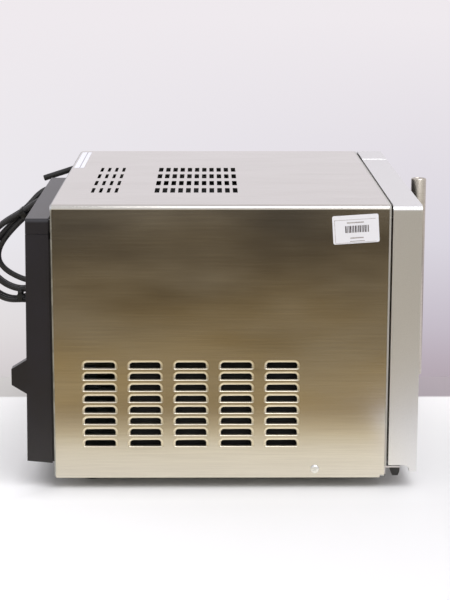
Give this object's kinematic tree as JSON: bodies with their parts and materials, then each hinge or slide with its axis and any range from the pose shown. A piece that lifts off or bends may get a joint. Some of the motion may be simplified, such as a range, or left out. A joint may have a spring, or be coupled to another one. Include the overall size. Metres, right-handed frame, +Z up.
{
  "type": "reflow oven",
  "caption": "Bench reflow oven with a side-hinged windowed door, upright bar handle, heated chamber with rack and convection fan, louvred cover, control panel and rear duct.",
  "frame": {"origin": "middle of the oven on the surface it stands on, at the centre of its bounding box without the mains lead", "axes": "+Z up; the door faces -Y and the handle sticks out that way; +X to the right when facing the door from outside with the hinges at -X"},
  "size_m": [0.4858, 0.5801, 0.3182],
  "materials": {
    "brushed_cover": "brushed stainless steel, reflective",
    "zinc_steel": "plain galvanised sheet",
    "screw_steel": "nickel-plated",
    "chamber_steel": "satin stainless steel",
    "blanket": "ceramic fibre blanket",
    "quartz": "milky quartz",
    "ceramic": "glazed ceramic",
    "chrome_wire": "bright wire",
    "heater_sheath": "oxidised sheath",
    "motor_steel": "zinc-coated",
    "fan_aluminium": "plain",
    "relay_plastic": "black",
    "block_plastic": "ivory",
    "front_plastic": "light grey satin",
    "frame_grey": "light grey",
    "dark_glass": "tinted",
    "gasket_rubber": "silicone",
    "magnet": "ferrite",
    "white_plastic": "white",
    "handle_metal": "satin metallic",
    "display": "smoked",
    "board": "green solder mask",
    "rocker_red": "red",
    "key_grey": "light grey",
    "duct_plastic": "black, fine texture",
    "black_rubber": "black",
    "black_plastic": "black",
    "cord_jacket": "black sheath",
    "label": "white film"
  },
  "bodies": {
    "cabinet": {"feet": "black_rubber", "base_plate": "zinc_steel", "cover": "brushed_cover", "cover_screws": "screw_steel", "rear_panel": "zinc_steel", "front_frame": "frame_grey", "chamber": "chamber_steel", "insulation": "blanket", "quartz_heaters": "quartz", "heater_caps": "ceramic", "rack_rails": "chamber_steel", "fan_baffle": "chamber_steel", "fan_plenum": "zinc_steel", "ring_heater": "heater_sheath", "fan_motor": "motor_steel", "thermocouple": "screw_steel", "compartment_wall": "zinc_steel", "power_supply": "zinc_steel", "heat_sink": "fan_aluminium", "relays": "relay_plastic", "terminal_block": "block_plastic", "cooling_fan_frame": "relay_plastic", "interlock_switches": "relay_plastic", "upper_hinge": "zinc_steel", "lower_hinge": "zinc_steel", "hinge_cap": "black_plastic", "control_panel": "front_plastic", "display_window": "display", "controller_board": "board", "rear_duct": "duct_plastic", "rear_duct_cap": "duct_plastic", "rear_stop_post": "black_plastic", "strain_relief": "black_rubber", "cord_lead": "cord_jacket", "cord_hank": "cord_jacket", "cord_tail": "cord_jacket", "cord_ties": "black_plastic", "plug": "black_rubber", "labels": "label"},
    "door": {"door_frame": "front_plastic", "outer_glass": "dark_glass", "door_inner_panel": "chamber_steel", "inner_glass": "dark_glass", "door_gasket": "gasket_rubber", "door_magnets": "magnet", "latch_tongues": "white_plastic", "handle_bar": "handle_metal", "handle_posts": "handle_metal", "hinge_bushes": "white_plastic"},
    "rack": {"rack": "chrome_wire"},
    "convection_fan": {"fan_shaft": "screw_steel", "fan_impeller": "fan_aluminium", "motor_blade": "fan_aluminium"},
    "cooling_fan": {"cooling_fan_rotor": "relay_plastic"},
    "power_rocker": {"power_rocker": "rocker_red"},
    "start_button": {"start_button": "key_grey"},
    "stop_button": {"stop_button": "key_grey"},
    "up_button": {"up_button": "key_grey"},
    "down_button": {"down_button": "key_grey"},
    "select_button": {"select_button": "key_grey"}
  },
  "joints": [
    {"name": "door_hinge", "type": "hinge", "parent": "cabinet", "child": "door", "pos_m": [-0.235, -0.1764, 0.163], "axis": [0, 0, -1], "range_deg": [0, 100]},
    {"name": "rack_slide", "type": "slide", "parent": "cabinet", "child": "rack", "axis": [0, -1, 0], "range_m": [0, 0.115]},
    {"name": "convection_fan_spin", "type": "hinge", "parent": "cabinet", "child": "convection_fan", "pos_m": [-0.04337, 0.1993, 0.166], "axis": [0, 1, 0], "continuous": true},
    {"name": "cooling_fan_spin", "type": "hinge", "parent": "cabinet", "child": "cooling_fan", "pos_m": [0.19037, 0.1873, 0.125], "axis": [0, 1, 0], "continuous": true},
    {"name": "power_rocker_tilt", "type": "hinge", "parent": "cabinet", "child": "power_rocker", "pos_m": [0.19787, -0.1963, 0.059], "axis": [-1, 0, 0], "range_deg": [0, 16]},
    {"name": "start_press", "type": "slide", "parent": "cabinet", "child": "start_button", "axis": [0, 1, 0], "range_m": [0, 0.0012], "stiffness_N_per_m": 400},
    {"name": "stop_press", "type": "slide", "parent": "cabinet", "child": "stop_button", "axis": [0, 1, 0], "range_m": [0, 0.0012], "stiffness_N_per_m": 400},
    {"name": "up_press", "type": "slide", "parent": "cabinet", "child": "up_button", "axis": [0, 1, 0], "range_m": [0, 0.0012], "stiffness_N_per_m": 400},
    {"name": "down_press", "type": "slide", "parent": "cabinet", "child": "down_button", "axis": [0, 1, 0], "range_m": [0, 0.0012], "stiffness_N_per_m": 400},
    {"name": "select_press", "type": "slide", "parent": "cabinet", "child": "select_button", "axis": [0, 1, 0], "range_m": [0, 0.0012], "stiffness_N_per_m": 400}
  ],
  "couplings": [
    {"joint": "rack_slide", "follows": "door_hinge", "m_per_rad": 0.06588}
  ]
}
